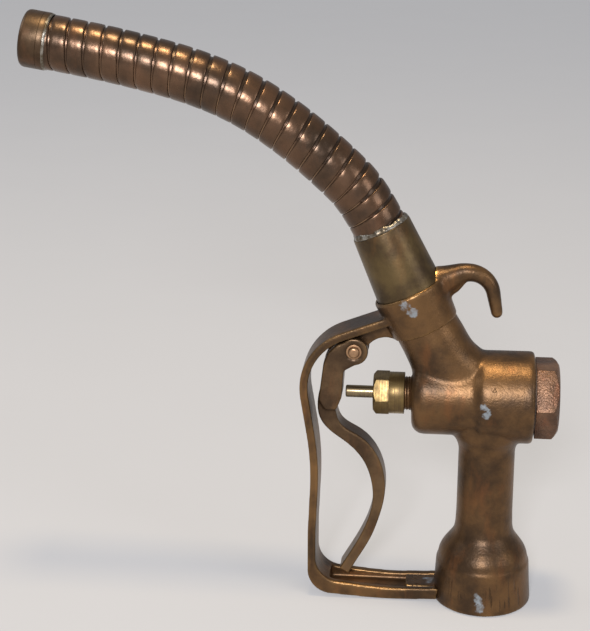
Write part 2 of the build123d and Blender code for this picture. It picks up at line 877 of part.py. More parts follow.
# ----------------------------------------------------------- solder beads
with BuildPart() as ferrule_solder:
    turn(
        neck_section,
        neck_axis,
        (hose_r, ferrule_top),
        (hose_r + solder_width, ferrule_top),
        (hose_r + solder_width * 0.8, ferrule_top + solder_height * 0.6),
        (hose_r, ferrule_top + solder_height),
    )

keep(ferrule_solder, "ferrule_solder")

with BuildPart() as tip_solder:
    with BuildSketch(hose_tip.offset(tip_lip - tip_ferrule_length - tip_solder_length)):
        Circle(hose_r + tip_solder_width)
        Circle(hose_r, mode=Mode.SUBTRACT)
    extrude(amount=tip_solder_length)

keep(tip_solder, "tip_solder")
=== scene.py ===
# %% [markdown]
# # A hand-held fuel nozzle in bronze and brass
# The working parts are already there as a fixed frame: every piece has its
# place and its body, and nothing in it is moved here. This notebook gives the
# frame its looks. Castings get soft cast edges and large blends, turned pieces
# get small bevels, the spout gets its wound metal strip, and every finish is
# a recipe of shader nodes.

# %% Load the frame
from math import cos, pi, radians, sin

import bpy
import numpy as np
from mathutils import Matrix, Vector, noise


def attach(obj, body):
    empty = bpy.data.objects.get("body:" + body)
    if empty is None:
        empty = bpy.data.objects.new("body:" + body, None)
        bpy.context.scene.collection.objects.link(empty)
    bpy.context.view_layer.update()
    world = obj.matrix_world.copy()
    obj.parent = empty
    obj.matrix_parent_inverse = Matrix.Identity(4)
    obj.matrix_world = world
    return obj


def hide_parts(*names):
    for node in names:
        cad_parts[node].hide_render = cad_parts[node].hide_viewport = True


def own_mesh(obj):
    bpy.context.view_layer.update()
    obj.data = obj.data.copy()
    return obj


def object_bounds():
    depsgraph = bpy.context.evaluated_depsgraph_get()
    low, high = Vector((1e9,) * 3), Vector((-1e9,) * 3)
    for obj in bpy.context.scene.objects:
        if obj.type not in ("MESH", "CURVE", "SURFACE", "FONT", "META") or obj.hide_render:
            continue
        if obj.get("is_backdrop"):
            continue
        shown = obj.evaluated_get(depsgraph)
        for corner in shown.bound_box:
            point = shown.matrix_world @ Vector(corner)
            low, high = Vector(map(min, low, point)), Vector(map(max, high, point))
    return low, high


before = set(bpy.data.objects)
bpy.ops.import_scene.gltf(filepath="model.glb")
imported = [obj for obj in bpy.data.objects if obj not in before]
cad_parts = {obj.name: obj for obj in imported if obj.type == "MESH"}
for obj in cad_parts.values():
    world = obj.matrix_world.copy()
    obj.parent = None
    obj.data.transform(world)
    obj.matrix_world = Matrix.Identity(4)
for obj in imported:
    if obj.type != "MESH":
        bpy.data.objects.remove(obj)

cad_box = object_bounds()
print("frame box, mm:", [[round(v * 1000, 1) for v in corner] for corner in cad_box])

# %% [markdown]
# ## The camera, the floor and the light
# The nozzle stands on its inlet bell. The camera looks at it from the front,
# a little from above and slightly from its right, so the camera is turned by
# a few degrees instead of the object. The floor is one large pale sheet. The
# light is soft and comes from above the camera, which puts one bright band
# along every lying cylinder and one sheen down every upright one.

# %% Camera, floor and lights
MM = 0.001
stage_yaw = radians(6.0)
camera_data = bpy.data.cameras.new("camera")
camera_data.lens = 85.6
camera = bpy.data.objects.new("camera", camera_data)
camera.location = (-0.0233, -0.7217, 0.3806)
camera.rotation_euler = (radians(72.5), 0.0, stage_yaw)
bpy.context.scene.collection.objects.link(camera)
bpy.context.scene.camera = camera


def soft_light(name, place, aim, size, power, tint=(1.0, 1.0, 1.0), tall=None):
    """A rectangular lamp that looks from its place at its aim."""
    lamp = bpy.data.lights.new(name, "AREA")
    lamp.energy = power
    lamp.color = tint
    lamp.size = size
    if tall is not None:
        lamp.shape = "RECTANGLE"
        lamp.size_y = tall
    lamp_object = bpy.data.objects.new(name, lamp)
    lamp_object.location = place
    aim_line = Vector(aim) - Vector(place)
    lamp_object.rotation_euler = aim_line.to_track_quat("-Z", "Y").to_euler()
    bpy.context.scene.collection.objects.link(lamp_object)
    return lamp_object


middle = (cad_box[0] + cad_box[1]) / 2
soft_light("front", (-0.16, -1.75, 0.98), middle, 0.34, 34.0, (0.98, 0.97, 1.0))
soft_light("overhead", (-0.08, -0.10, 1.75), middle, 0.22, 16.0, (1.0, 0.80, 0.50))
soft_light("left", (-1.5, 0.1, 1.3), middle, 0.9, 7.0, (0.93, 0.96, 1.0))
soft_light("right", (1.5, -1.0, 0.9), middle, 0.8, 8.0, (0.97, 0.97, 1.0))

world = bpy.data.worlds.new("room")
world.use_nodes = True
world.node_tree.nodes["Background"].inputs["Color"].default_value = (0.62, 0.63, 0.66, 1.0)
world.node_tree.nodes["Background"].inputs["Strength"].default_value = 0.50
bpy.context.scene.world = world
bpy.context.scene.view_settings.view_transform = "Standard"

# %% [markdown]
# ## Writing shader maths as sentences
# A node tree is hard to read as a list of links. The class below wraps one
# socket. Adding, multiplying or comparing two wrapped sockets adds the Math
# node that does it, so `0.3 + wear * 0.5` is a piece of a material. One
# method of the recipe makes every other kind of node.


# %% Shader sockets that can be added and multiplied
class Value:
    """One output socket of a recipe, which Python's operators work on."""

    def __init__(self, recipe, socket):
        self.recipe = recipe
        self.socket = socket

    def maths(self, operation, first, second):
        settings = {"operation": operation}
        return self.recipe.node("ShaderNodeMath", settings, {0: first, 1: second})

    def __add__(self, other):
        return self.maths("ADD", self, other)

    def __radd__(self, other):
        return self.maths("ADD", other, self)

    def __sub__(self, other):
        return self.maths("SUBTRACT", self, other)

    def __rsub__(self, other):
        return self.maths("SUBTRACT", other, self)

    def __mul__(self, other):
        return self.maths("MULTIPLY", self, other)

    def __rmul__(self, other):
        return self.maths("MULTIPLY", other, self)

    def between(self, low, high):
        """0 below low, 1 above high, and a smooth slope between them."""
        settings = {"interpolation_type": "SMOOTHSTEP"}
        inputs = {"Value": self, "From Min": low, "From Max": high}
        return self.recipe.node("ShaderNodeMapRange", settings, inputs)


class Recipe:
    """A material, with short words for the nodes that the finishes use."""

    def __init__(self, name):
        self.material = bpy.data.materials.new(name)
        self.material.use_nodes = True
        self.tree = self.material.node_tree
        self.tree.nodes.clear()
        self.place = self.node("ShaderNodeTexCoord", {}, {}, "Object")

    def node(self, kind, settings, inputs, output=0):
        """Any node: its settings first, then the values or links of its sockets."""
        made = self.tree.nodes.new(kind)
        for key, value in settings.items():
            setattr(made, key, value)
        for key, value in inputs.items():
            if isinstance(value, Value):
                self.tree.links.new(value.socket, made.inputs[key])
            elif isinstance(value, tuple) and len(value) == 3 and made.inputs[key].type == "RGBA":
                made.inputs[key].default_value = (*value, 1.0)
            else:
                made.inputs[key].default_value = value
        return Value(self, made.outputs[output])

    def noise(self, scale, detail=3.0, roughness=0.55, stretch=(1.0, 1.0, 1.0)):
        """Cloudy noise. Scale is in clouds per metre, stretch slows an axis down."""
        where = self.place
        if stretch != (1.0, 1.0, 1.0):
            where = self.node("ShaderNodeMapping", {}, {"Vector": where, "Scale": stretch})
        inputs = {"Vector": where, "Scale": scale, "Detail": detail, "Roughness": roughness}
        return self.node("ShaderNodeTexNoise", {}, inputs)

    def attribute(self, name):
        """A number that is stored at each of the mesh's points."""
        return self.node("ShaderNodeAttribute", {"attribute_name": name}, {}, "Fac")

    def mix(self, amount, first, second):
        """The first colour where the amount is 0, the second where it is 1."""
        settings = {"data_type": "RGBA", "clamp_factor": True}
        return self.node("ShaderNodeMix", settings, {0: amount, 6: first, 7: second}, 2)

    def spot(self, centre, radius, blur):
        """1 inside a ball and 0 outside it, for a mark at one place."""
        inputs = {0: self.place, 1: centre}
        away = self.node("ShaderNodeVectorMath", {"operation": "DISTANCE"}, inputs, "Value")
        return 1.0 - away.between(radius - blur, radius + blur)

    def along(self, axis):
        """The place along X, Y or Z, in metres."""
        return self.node("ShaderNodeSeparateXYZ", {}, {0: self.place}, axis)

    def bump(self, height, depth):
        """Small relief, as deep in metres as the height's whole range."""
        inputs = {"Height": height, "Distance": depth, "Strength": 1.0}
        return self.node("ShaderNodeBump", {}, inputs)

    def surface(self, **sockets):
        """Ends the recipe with one shader, and returns the material."""
        inputs = {key.replace("_", " "): value for key, value in sockets.items()}
        shader = self.node("ShaderNodeBsdfPrincipled", {}, inputs)
        end = self.tree.nodes.new("ShaderNodeOutputMaterial")
        self.tree.links.new(shader.socket, end.inputs["Surface"])
        return self.material


print("recipes ready")

# %% [markdown]
# ## Helpers for modelling
# A lathe piece starts as one disc. Each further ring is the disc's face,
# extruded and scaled, which is how a turned shape is drawn by hand. A casting
# starts as several such shapes that overlap; a voxel remesh melts them into
# one skin, and a little smoothing gives the rounded corners of a sand mould.

# %% Modelling helpers
stem_axis_z = 112.2
neck_lean = radians(25.0)
neck_root = (-16.0, stem_axis_z)

upright = Matrix.Identity(4)
along_stem = Matrix.Translation((0, 0, stem_axis_z * MM)) @ Matrix.Rotation(pi / 2, 4, "Y")
along_neck = Matrix.Translation((neck_root[0] * MM, 0, neck_root[1] * MM)) @ Matrix.Rotation(
    -neck_lean, 4, "Y"
)


def only(piece):
    """Make one piece the selected and active one."""
    bpy.ops.object.select_all(action="DESELECT")
    piece.hide_set(False)
    piece.select_set(True)
    bpy.context.view_layer.objects.active = piece


def settle(piece, place):
    """Put a piece in its place and write the place into its mesh."""
    piece.matrix_world = place
    only(piece)
    bpy.ops.object.transform_apply(location=True, rotation=True, scale=True)
    return piece


def outward(piece, merge=0.00001):
    """Merge doubled points and turn every face outwards."""
    only(piece)
    bpy.ops.object.mode_set(mode="EDIT")
    bpy.ops.mesh.select_all(action="SELECT")
    bpy.ops.mesh.remove_doubles(threshold=merge)
    bpy.ops.mesh.normals_make_consistent(inside=False)
    bpy.ops.object.mode_set(mode="OBJECT")
    return piece


def lathe(name, rings, place=upright, sides=96, hollow=False):
    """A turned piece. A ring is (distance along the axis, radius) or (distance, radius, shift)
    in millimetres. A hollow one is a ring-shaped profile whose last ring meets its first."""
    rings = [(*ring, 0.0) if len(ring) == 2 else ring for ring in rings]
    distance, radius, shift = rings[0]
    bpy.ops.object.select_all(action="DESELECT")
    bpy.ops.mesh.primitive_circle_add(
        vertices=sides,
        radius=radius * MM,
        fill_type="NOTHING" if hollow else "NGON",
        location=(shift * MM, 0, distance * MM),
    )
    piece = bpy.context.object
    piece.name = name
    bpy.ops.object.mode_set(mode="EDIT")
    bpy.ops.mesh.select_all(action="SELECT")
    for new_distance, new_radius, new_shift in rings[1:]:
        step = ((new_shift - shift) * MM, 0, (new_distance - distance) * MM)
        grow = new_radius / radius
        centre = (new_shift * MM, 0, new_distance * MM)
        bpy.ops.mesh.extrude_region_move(TRANSFORM_OT_translate={"value": step})
        bpy.ops.transform.resize(value=(grow, grow, grow), center_override=centre)
        distance, radius, shift = new_distance, new_radius, new_shift
    if hollow:
        bpy.ops.mesh.select_all(action="DESELECT")
        bpy.ops.mesh.select_mode(type="EDGE")
        bpy.ops.mesh.select_non_manifold()
        bpy.ops.mesh.bridge_edge_loops()
        bpy.ops.mesh.select_mode(type="VERT")
    bpy.ops.object.mode_set(mode="OBJECT")
    bpy.ops.object.transform_apply(location=True, rotation=True, scale=True)
    settle(piece, place)
    return outward(piece)


def shaped(piece, kind, **settings):
    """Add a modifier, set it and apply it."""
    modifier = piece.modifiers.new(kind, kind)
    for key, value in settings.items():
        setattr(modifier, key, value)
    only(piece)
    bpy.ops.object.modifier_apply(modifier=modifier.name)
    return piece


def creased(piece, angle):
    """Shade smooth, but keep the edges that turn more than this many degrees crisp."""
    only(piece)
    bpy.ops.object.shade_smooth_by_angle(angle=radians(angle))
    return piece


def cut(piece, tool):
    """Take the tool's shape out of the piece, and throw the tool away."""
    shaped(piece, "BOOLEAN", operation="DIFFERENCE", object=tool, solver="EXACT")
    bpy.data.objects.remove(tool)
    return piece


def joined(first, *others):
    """Join pieces into the first one."""
    only(first)
    for other in others:
        other.select_set(True)
    bpy.ops.object.join()
    return first


def blank(node, name):
    """A merged copy of a frame node, to work on."""
    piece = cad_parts[node].copy()
    piece.data = piece.data.copy()
    for key in list(piece.keys()):
        del piece[key]
    bpy.context.scene.collection.objects.link(piece)
    piece.parent = None
    piece.matrix_world = Matrix.Identity(4)
    piece.name = name
    piece.data.materials.clear()
    return outward(piece)


def points_of(piece):
    """The mesh's points as an array, in millimetres."""
    points = np.empty(len(piece.data.vertices) * 3)
    piece.data.vertices.foreach_get("co", points)
    return points.reshape(-1, 3) / MM


def move_points(piece, points):
    """Write an array of points, in millimetres, back into the mesh."""
    piece.data.vertices.foreach_set("co", (points * MM).ravel())
    piece.data.update()


def cast(piece, voxel, rounds, soft_spots=(), soft_rounds=0):
    """Melt overlapping shells into one skin and round it. Soft spots are (x, y, z, radius)
    in millimetres, where the skin is smoothed much further."""
    shaped(piece, "REMESH", mode="VOXEL", voxel_size=voxel * MM, use_smooth_shade=True)
    if soft_spots:
        points = points_of(piece)
        weight = np.zeros(len(points))
        for x, y, z, radius in soft_spots:
            away = np.linalg.norm(points - np.array((x, y, z)), axis=1) / radius
            weight = np.maximum(weight, np.clip(1.5 * (1.0 - away), 0.0, 1.0))
        group = piece.vertex_groups.new(name="soft")
        for index in np.flatnonzero(weight):
            group.add([int(index)], float(weight[index]), "REPLACE")
        shaped(piece, "SMOOTH", factor=0.5, iterations=soft_rounds, vertex_group="soft")
        piece.vertex_groups.clear()
    shaped(piece, "SMOOTH", factor=0.5, iterations=rounds)
    only(piece)
    bpy.ops.object.shade_smooth()
    return piece


def machined(piece, width, segments=2, angle=32.0):
    """Clean flat faces and give the sharp edges a small bevel."""
    only(piece)
    bpy.ops.object.mode_set(mode="EDIT")
    bpy.ops.mesh.select_all(action="SELECT")
    bpy.ops.mesh.dissolve_limited(angle_limit=radians(0.3))
    bpy.ops.object.mode_set(mode="OBJECT")
    shaped(
        piece,
        "BEVEL",
        width=width * MM,
        segments=segments,
        limit_method="ANGLE",
        angle_limit=radians(angle),
        use_clamp_overlap=True,
    )
    return creased(piece, 35)


def mark_wear(piece, reach=6, gain=1.0):
    """Store how far each point stands out from its neighbours, as edge wear from 0 to 1,
    and how deep it lies, as grime."""
    mesh = piece.data
    points = points_of(piece)
    edges = np.empty(len(mesh.edges) * 2, int)
    mesh.edges.foreach_get("vertices", edges)
    edges = edges.reshape(-1, 2)
    normals = np.empty(len(points) * 3)
    mesh.vertices.foreach_get("normal", normals)
    normals = normals.reshape(-1, 3)
    count = np.bincount(edges.ravel(), minlength=len(points)).clip(1)

    def neighbours(values):
        total = np.zeros_like(values)
        np.add.at(total, edges[:, 0], values[edges[:, 1]])
        np.add.at(total, edges[:, 1], values[edges[:, 0]])
        return total / (count[:, None] if values.ndim == 2 else count)

    soft = points
    for _ in range(reach):
        soft = neighbours(soft)
    standing = np.einsum("ij,ij->i", points - soft, normals)
    for _ in range(2):
        standing = neighbours(standing)
    for name, values in (("wear", standing), ("grime", -standing)):
        attribute = mesh.attributes.new(name, "FLOAT", "POINT")
        attribute.data.foreach_set("value", np.clip(values * gain, 0.0, 1.0))
    return piece


def place_on(piece, body, slot, material, *nodes):
    """Give a piece its finish and its body, and hide the frame nodes that it stands for."""
    piece.data.materials.clear()
    piece.data.materials.append(material)
    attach(piece, body)
    if nodes:
        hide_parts(*nodes)
    print(piece.name, len(piece.data.polygons), "faces")
    return piece


# %% [markdown]
# ## The finishes
# Old cast bronze is two things at once: a brown skin of oxide, which is only
# a little shiny, and the golden metal below, which shows where hands and
# hooks have rubbed. So the patina mixes both by a wear mask, made from the
# piece's own shape (its edges stand out from their neighbours) and broken up
# by noise. Turned brass is cleaner: its marks are fine rings round its axis.

# %% Bronze, brass, solder and the rest
scuff_grey = (0.25, 0.29, 0.32)
cast_relief = 0.00022
turned_relief = 0.00005


def patina(
    name,
    brown=(0.150, 0.078, 0.030),
    dark=(0.052, 0.029, 0.014),
    gold=(0.40, 0.235, 0.085),
    polish=0.0,
    marks=(),
    scores=None,
    grain=0.5,
    gloss=0.33,
):
    """Cast bronze with a brown skin, rubbed edges and dark hollows.
    Marks are pale scuffs (centre, radius) in metres. Scores are upright scratches
    between two heights, also in metres."""
    r = Recipe(name)
    clouds = r.noise(38.0, 5.0, 0.6)
    smears = r.noise(90.0, 4.0, 0.65, (1.0, 1.0, 0.35))
    sand = r.noise(900.0, 2.0, 0.6)
    specks = r.noise(420.0, 3.0, 0.5)
    wear = r.attribute("wear")
    grime = r.attribute("grime")
    rubbed = (wear * 1.1 + smears * 0.55 + clouds * 0.3 + polish).between(0.53, 1.40)
    shade = clouds.between(0.36, 0.66)
    skin = r.mix(shade, dark, brown)
    reddish = tuple(a * b for a, b in zip(brown, (1.18, 0.9, 0.8)))
    skin = r.mix(smears.between(0.5, 0.75) * 0.55, skin, reddish)
    colour = r.mix(rubbed, skin, gold)
    colour = r.mix((grime * 1.4 + specks.between(0.62, 0.75) * 0.35).between(0.12, 0.9), colour, dark)
    metal = 0.72 + rubbed * 0.28
    rough = gloss - rubbed * 0.12 + specks * 0.12 - polish * 0.1
    height = sand * grain + clouds * 0.6 + specks * 0.4
    ragged = r.noise(260.0, 3.0, 0.6)
    for centre, radius in marks:
        spot = r.spot(centre, radius, radius * 0.9)
        patch = (spot + ragged * 2.6).between(1.75, 2.15) * spot.between(0.05, 0.3)
        scuff = patch * (0.35 + specks.between(0.3, 0.6) * 0.4)
        colour = r.mix(scuff, colour, scuff_grey)
        metal = metal - scuff * 0.5
        rough = rough + scuff * 0.12
    if scores is not None:
        low, high = scores
        strokes = r.noise(520.0, 3.0, 0.5, (1.0, 1.0, 0.05))
        band = r.along("Z").between(low, low + 0.003) - r.along("Z").between(high - 0.004, high)
        cuts = strokes.between(0.56, 0.66) * band * r.noise(60.0).between(0.42, 0.6)
        colour = r.mix(cuts * 0.6, colour, dark)
        height = height - cuts * 2.5
    return r.surface(
        Base_Color=colour,
        Metallic=metal,
        Roughness=rough,
        Normal=r.bump(height, cast_relief),
    )


def turned_brass(name, colour, stain, axis="X", tarnish=0.5):
    """Turned brass: rings round its axis, and brown tarnish in clouds."""
    rough = 0.24
    rings = 1400.0
    r = Recipe(name)
    lathe_marks = r.node(
        "ShaderNodeTexNoise",
        {"noise_dimensions": "1D"},
        {"W": r.along(axis), "Scale": rings, "Detail": 3.0},
    )
    clouds = r.noise(130.0, 4.0, 0.6)
    wear = r.attribute("wear")
    stained = (clouds + lathe_marks * 0.35 - wear * 0.3).between(0.62 - tarnish * 0.3, 0.98)
    tone = r.mix(stained * 0.85, colour, stain)
    return r.surface(
        Base_Color=tone,
        Metallic=0.96 - stained * 0.25,
        Roughness=rough + stained * 0.22 + lathe_marks * 0.06,
        Normal=r.bump(lathe_marks * 0.5 + clouds * 0.3, turned_relief),
    )


def plain_finish(name, first, second, metal, rough, scale=300.0, depth=0.00008):
    """A simple two-tone finish for the small pieces and those inside."""
    r = Recipe(name)
    clouds = r.noise(scale, 4.0, 0.6)
    return r.surface(
        Base_Color=r.mix(clouds.between(0.35, 0.7), first, second),
        Metallic=metal,
        Roughness=rough + clouds * 0.15,
        Normal=r.bump(clouds, depth),
    )


body_scuffs = (
    ((-0.0035, -0.0233, 0.1140), 0.0022),
    ((-0.0010, -0.0232, 0.1108), 0.0024),
    ((-0.0018, -0.0246, 0.0098), 0.0026),
    ((-0.0016, -0.0247, 0.0052), 0.0027),
    ((-0.0270, 0.0000, 0.0052), 0.0040),
)
guard_scuffs = (((-0.0425, -0.0180, 0.1640), 0.0028), ((-0.0398, -0.0181, 0.1612), 0.0026))
body_bronze = patina("cast_bronze", marks=body_scuffs, scores=(0.002, 0.024))
guard_bronze = patina("guard_bronze", polish=0.10, marks=guard_scuffs)
lever_bronze = patina("lever_bronze", brown=(0.135, 0.080, 0.038), polish=0.04)
cap_bronze = patina(
    "cap_bronze", brown=(0.24, 0.130, 0.072), dark=(0.075, 0.040, 0.024), gold=(0.42, 0.25, 0.15),
    grain=1.4, polish=0.05,
)
nut_brass = turned_brass(
    "nut_brass", (0.27, 0.185, 0.070), (0.075, 0.046, 0.022), tarnish=0.8
)
stem_brass = turned_brass("stem_brass", (0.30, 0.225, 0.125), (0.07, 0.052, 0.034), tarnish=0.6)
inner_brass = turned_brass("turned_brass", (0.60, 0.44, 0.19), (0.22, 0.14, 0.06))
ferrule_brass = patina(
    "ferrule_brass", brown=(0.120, 0.080, 0.032), dark=(0.045, 0.028, 0.014),
    gold=(0.30, 0.20, 0.08), grain=0.12,
)
tip_brass = patina("tip_brass", brown=(0.110, 0.068, 0.036), grain=0.15, polish=0.03)
rivet_brass = turned_brass("rivet_brass", (0.50, 0.30, 0.16), (0.12, 0.06, 0.035), axis="Y")
hose_copper = patina(
    "hose_copper", brown=(0.105, 0.056, 0.031), dark=(0.046, 0.028, 0.017),
    gold=(0.24, 0.15, 0.09), polish=0.02, grain=0.12, gloss=0.24,
)
solder = plain_finish("solder", (0.11, 0.085, 0.055), (0.34, 0.32, 0.28), 0.85, 0.26, 300.0, 0.0004)
steel = plain_finish("steel_screw", (0.24, 0.22, 0.20), (0.42, 0.40, 0.38), 0.95, 0.35)
spring_steel = plain_finish("spring_steel", (0.34, 0.34, 0.33), (0.5, 0.5, 0.49), 1.0, 0.25)
gasket = plain_finish("gasket", (0.045, 0.030, 0.022), (0.085, 0.060, 0.045), 0.0, 0.75, 700.0)
packing = plain_finish("packing", (0.10, 0.09, 0.07), (0.18, 0.16, 0.13), 0.0, 0.8, 900.0, 0.0002)
leather = plain_finish("disc_leather", (0.10, 0.045, 0.02), (0.17, 0.085, 0.04), 0.0, 0.6, 800.0)
print(len(bpy.data.materials), "materials")

# %% [markdown]
# ## The body casting
# On the real nozzle one sand casting holds the inlet bell, the handle pipe,
# the valve chamber and the neck. It could be modelled as one surface, but its
# charm is in the big soft blends where cylinders meet. So each cylinder is
# turned by itself, with a flare where it runs into the next, and the remesh
# melts them together. The neck's flare leans to the chamber's side only,
# because the neck's other side is nearly straight, and it is kept narrow
# across, so that it does not bulge out of the globe's sides.

# %% The casting's cylinders
chamber = lathe(
    "chamber",
    [
        (-39.0, 14.6),
        (-38.5, 16.9),
        (-37.1, 18.8),
        (-35.2, 20.0),
        (-33.0, 20.5),
        (-8.2, 20.5),
        (-6.6, 21.3),
        (-5.4, 22.6),
        (-4.0, 23.4),
        (20.4, 23.5),
        (21.6, 23.1),
        (22.2, 22.3),
    ],
    along_stem,
)
neck_rings = [
    (6.0, 21.0, 3.2),
    (14.0, 19.6, 2.8),
    (18.0, 18.3, 2.2),
    (22.0, 17.1, 1.5),
    (26.0, 16.6, 1.2),
    (33.0, 16.3, 0.9),
    (39.0, 16.1, 0.3),
    (57.0, 15.9, 0.0),
]
neck_half_width = 16.2
neck = lathe("neck", neck_rings, along_neck)
neck_points = points_of(neck)
from_root = neck_points - np.array((neck_root[0], 0, neck_root[1]))
up_neck = from_root[:, 2] * cos(neck_lean) - from_root[:, 0] * sin(neck_lean)
ring_places, ring_radii, _ = zip(*neck_rings)
half_width = np.interp(up_neck, ring_places, ring_radii)
neck_points[:, 1] *= np.minimum(1.0, neck_half_width / half_width)
move_points(neck, neck_points)
handle = lathe(
    "handle",
    [
        (0.0, 24.9),
        (0.5, 25.5),
        (12.0, 24.7),
        (22.0, 24.1),
        (23.2, 23.4),
        (24.6, 23.2),
        (26.5, 22.8),
        (29.0, 21.7),
        (31.5, 20.0),
        (34.0, 18.1),
        (36.2, 16.5),
        (38.6, 15.4),
        (42.0, 14.8),
        (50.0, 14.5),
        (84.0, 14.4),
        (87.0, 15.1),
        (89.5, 16.3),
        (92.0, 17.8),
        (96.0, 18.6),
        (104.0, 18.6),
    ],
)
tongue_low, tongue_high = 3.8, 6.8
tongue_x = -32.5
tongue_length, tongue_width = 15.0, 13.4
bpy.ops.object.select_all(action="DESELECT")
bpy.ops.mesh.primitive_cube_add(size=1)
tongue = bpy.context.object
tongue.name = "tongue"
tongue_height = tongue_high - tongue_low
settle(
    tongue,
    Matrix.Translation((tongue_x * MM, 0, (tongue_low + tongue_high) / 2 * MM))
    @ Matrix.Diagonal((tongue_length * MM, tongue_width * MM, tongue_height * MM, 1)),
)
stub = lathe("stub", [(-52.5, 7.6), (-51.8, 8.3), (-36.0, 8.3)], along_stem)
body = joined(chamber, neck, handle, tongue, stub)
body.name = "body_shell"

# %% [markdown]
# The inlet is cut after the remesh, so that its mouth stays crisp. A pipe
# thread is one small ridge wound like a spring, so the Screw modifier makes
# it from a triangle.

# %% Melt the casting, and cut its inlet
neck_crotch = [(-7.0, 0.0, 138.0, 15.0)]
neck_crotch += [(-9.0, y, 131.0, 15.0) for y in (-15.0, 15.0)]
neck_crotch += [(-13.0, y, 120.0, 15.0) for y in (-19.0, 19.0)]
neck_crotch += [(-5.0, y, 116.0, 11.0) for y in (-21.0, 21.0)]
neck_crotch += [(-24.0, y, 120.0, 13.0) for y in (-17.0, 17.0)]
globe_crotch = [(-30.0, y, 128.0, 13.0) for y in (-13.0, 0.0, 13.0)]
pipe_crotch = [(12.5 * cos(a), 12.5 * sin(a), 91.0, 10.0) for a in np.arange(8) * pi / 4]
cast(body, 0.75, 5, neck_crotch + globe_crotch + pipe_crotch, 45)
inlet_cut = lathe(
    "inlet_cut",
    [(-1.0, 17.4), (0.0, 17.2), (1.4, 15.8), (22.0, 15.8), (22.01, 9.5), (90.0, 9.5)],
)
cut(body, inlet_cut)


def thread_ridge(name, ridge, radius, pitch, turns, place):
    """A thread wound round +Z from a small triangle, then put in its place."""
    bpy.ops.object.select_all(action="DESELECT")
    bpy.ops.mesh.primitive_circle_add(vertices=3, radius=ridge * MM, fill_type="NOTHING")
    thread = bpy.context.object
    thread.name = name
    settle(thread, Matrix.Translation((radius * MM, 0, 0)) @ Matrix.Rotation(pi / 2, 4, "X"))
    screw = {"axis": "Z", "screw_offset": pitch * MM, "iterations": turns}
    shaped(thread, "SCREW", **screw, steps=48, render_steps=48)
    settle(thread, place)
    bpy.ops.object.mode_set(mode="EDIT")
    bpy.ops.mesh.select_all(action="DESELECT")
    bpy.ops.mesh.select_non_manifold()
    bpy.ops.mesh.edge_face_add()
    bpy.ops.object.mode_set(mode="OBJECT")
    return outward(thread)


thread = thread_ridge(
    "inlet_thread", 0.9, 16.1, pitch=2.2, turns=8, place=Matrix.Translation((0, 0, 2.2 * MM))
)
stub_start = along_stem @ Matrix.Translation((0, 0, -51.6 * MM))
stub_thread = thread_ridge("stub_thread", 0.62, 8.25, pitch=1.3, turns=9, place=stub_start)
bpy.ops.object.select_all(action="DESELECT")
bpy.ops.mesh.primitive_cylinder_add(vertices=3, radius=1.5 * MM, depth=2.0 * MM)
arrow = bpy.context.object
arrow.name = "raised_arrow"
arrow_place = Matrix.Translation((2.2 * MM, -20.6 * MM, 122.5 * MM))
tilt = Matrix.Rotation(radians(63), 4, "X")
settle(arrow, arrow_place @ tilt)
shaped(arrow, "BEVEL", width=0.25 * MM, segments=2)
mark_wear(body)
body = joined(body, thread, stub_thread, arrow)
creased(body, 50)
place_on(body, "root", "cast_bronze", body_bronze, "body_casting")

# %% [markdown]
# ## The guard, hook and collar
# The second casting clamps the neck with its collar and carries everything
# that protects the hand. The frame already has its true outline, so a merged
# copy of it is the blank. It gets a swelling where the hook grows out of the
# collar, and then the same remesh as the body.

# %% The guard
guard = blank("guard_casting", "guard_shell")
hook_place = Matrix.Translation((-0.0407, 0, 0.1652)) @ Matrix.Rotation(radians(64.9), 4, "Y")
hook_root = lathe(
    "hook_root",
    [(10.0, 9.0), (15.0, 8.6), (18.0, 7.6), (21.0, 6.6), (25.0, 5.6), (29.0, 4.6), (30.0, 3.0)],
    hook_place,
    48,
)
guard = joined(guard, hook_root)
hook_foot = [(-25.0, y, 172.0, 13.0) for y in (-7.0, 7.0)] + [(-20.0, 0.0, 166.0, 9.0)]
cast(guard, 0.6, 13, hook_foot, 40)
neck_cut = lathe("neck_cut", [(30.0, 16.1), (57.2, 16.1), (57.21, 17.0), (80.0, 17.0)], along_neck)
cut(guard, neck_cut)
mark_wear(guard)
creased(guard, 50)
place_on(guard, "root", "guard_bronze", guard_bronze, "guard_casting")

# %% [markdown]
# ## The lever
# A smaller casting of the same bronze. Years of squeezing have rubbed a
# bright ridge along its front.

# %% The lever
lever = blank("lever", "lever_shell")
cast(lever, 0.45, 26)
mark_wear(lever, gain=1.4)
place_on(lever, "lever", "lever_bronze", lever_bronze, "lever")

# %% [markdown]
# ## Turned and machined pieces
# These are right in the frame already. What they lack is the small bevel that
# every real edge has, and which catches the light, so each one is a merged
# copy with its sharp edges bevelled.

# %% Bevelled copies
crisp = (
    ("packing_nut", "root", "nut_brass", nut_brass, 0.35),
    ("valve_cap", "root", "cap_bronze", cap_bronze, 0.9),
    ("push_stem", "stem", "stem_brass", stem_brass, 0.2),
    ("pivot_pin", "root", "rivet_brass", rivet_brass, 0.15),
    ("pivot_washers", "root", "rivet_brass", rivet_brass, 0.12),
    ("guard_screw", "root", "steel_screw", steel, 0.15),
    ("packing_gland", "root", "turned_brass", inner_brass, 0.15),
    ("seat_ring", "root", "turned_brass", inner_brass, 0.15),
    ("disc_nut", "stem", "turned_brass", inner_brass, 0.25),
    ("disc_washer", "stem", "turned_brass", inner_brass, 0.15),
    ("disc_holder", "stem", "turned_brass", inner_brass, 0.25),
    ("cap_gasket", "root", "gasket", gasket, 0.12),
    ("spout_gasket", "root", "gasket", gasket, 0.12),
)
for node, body_name, slot, finish, width in crisp:
    piece = blank(node, node + "_shell")
    machined(piece, width)
    place_on(piece, body_name, slot, finish, node)

